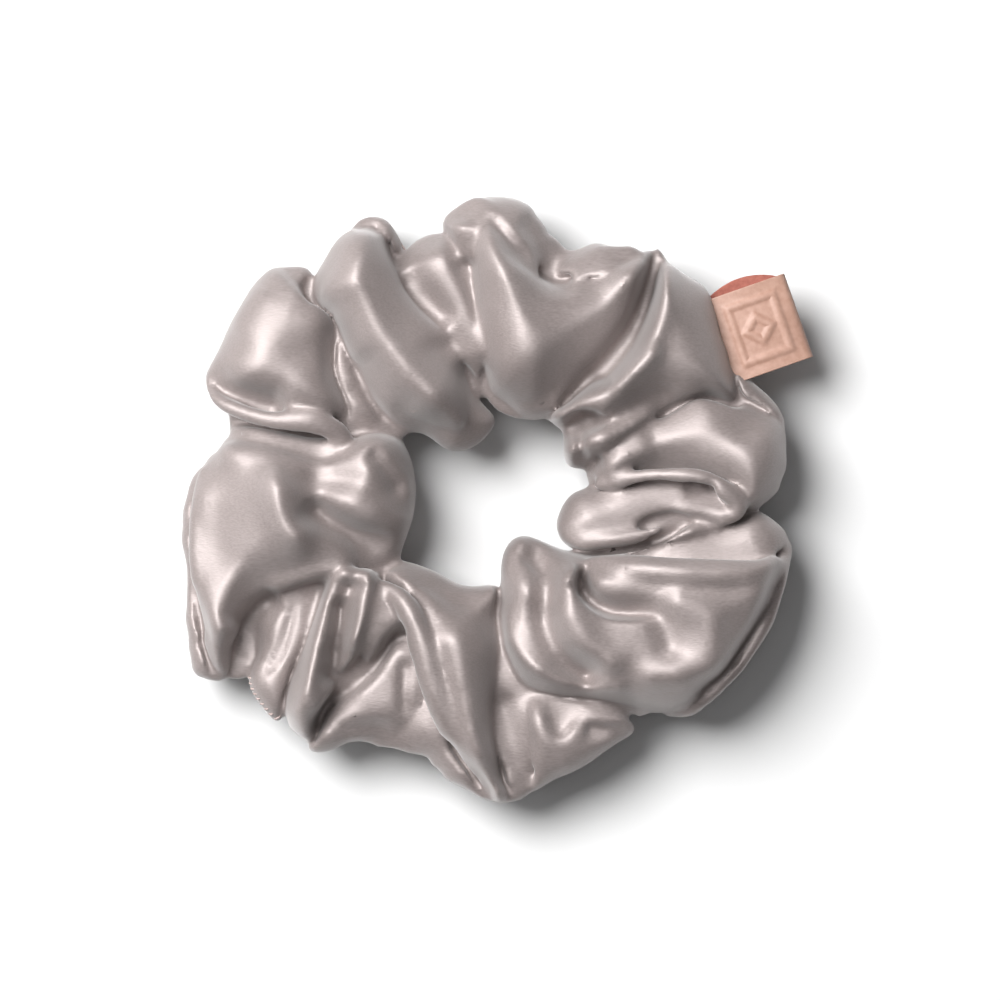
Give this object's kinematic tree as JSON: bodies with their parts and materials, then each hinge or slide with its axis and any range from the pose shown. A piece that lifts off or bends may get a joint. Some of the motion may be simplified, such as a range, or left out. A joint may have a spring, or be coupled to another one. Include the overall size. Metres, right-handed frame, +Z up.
{
  "type": "hair scrunchie",
  "caption": "Gathered satin hair scrunchie: a puffed, pleated cloth tube round a loop of elastic, with a small folded loop label in its outer seam.",
  "frame": {"origin": "middle of the footprint, label included, on the surface the scrunchie lies on", "axes": "+Z up along the hole; +X towards the side the label is on; the ring's centre is at x = -2.84 mm, y = 0"},
  "size_m": [0.1154, 0.1096, 0.0298],
  "materials": {
    "satin": "satin",
    "elastic": "matte woven",
    "thread": "matte",
    "label_face": "semi-matte",
    "label_lining": "matte"
  },
  "bodies": {
    "left_half": {"cover_left": "satin", "elastic_band": "elastic", "elastic_join_stitch_1": "thread", "elastic_join_stitch_2": "thread", "elastic_join_stitch_3": "thread", "long_seam_left": "thread", "closing_seam_thread": "thread"},
    "right_half": {"cover_right": "satin", "long_seam_right": "thread", "label_root_tab": "label_face", "label_stitch": "thread"},
    "label": {"label_face": "label_face", "label_lining": "label_lining"}
  },
  "joints": [
    {"name": "stretch", "type": "slide", "parent": "left_half", "child": "right_half", "axis": [1, 0, 0], "range_m": [0, 0.06], "stiffness_N_per_m": 120, "deforming": ["elastic_band"]},
    {"name": "label_flap", "type": "hinge", "parent": "right_half", "child": "label", "pos_m": [0.04315, 0.02974, 0.015], "axis": [0.3584, -0.9336, 0], "range_deg": [-50, 60], "stiffness_Nm_per_rad": 0.0008}
  ]
}
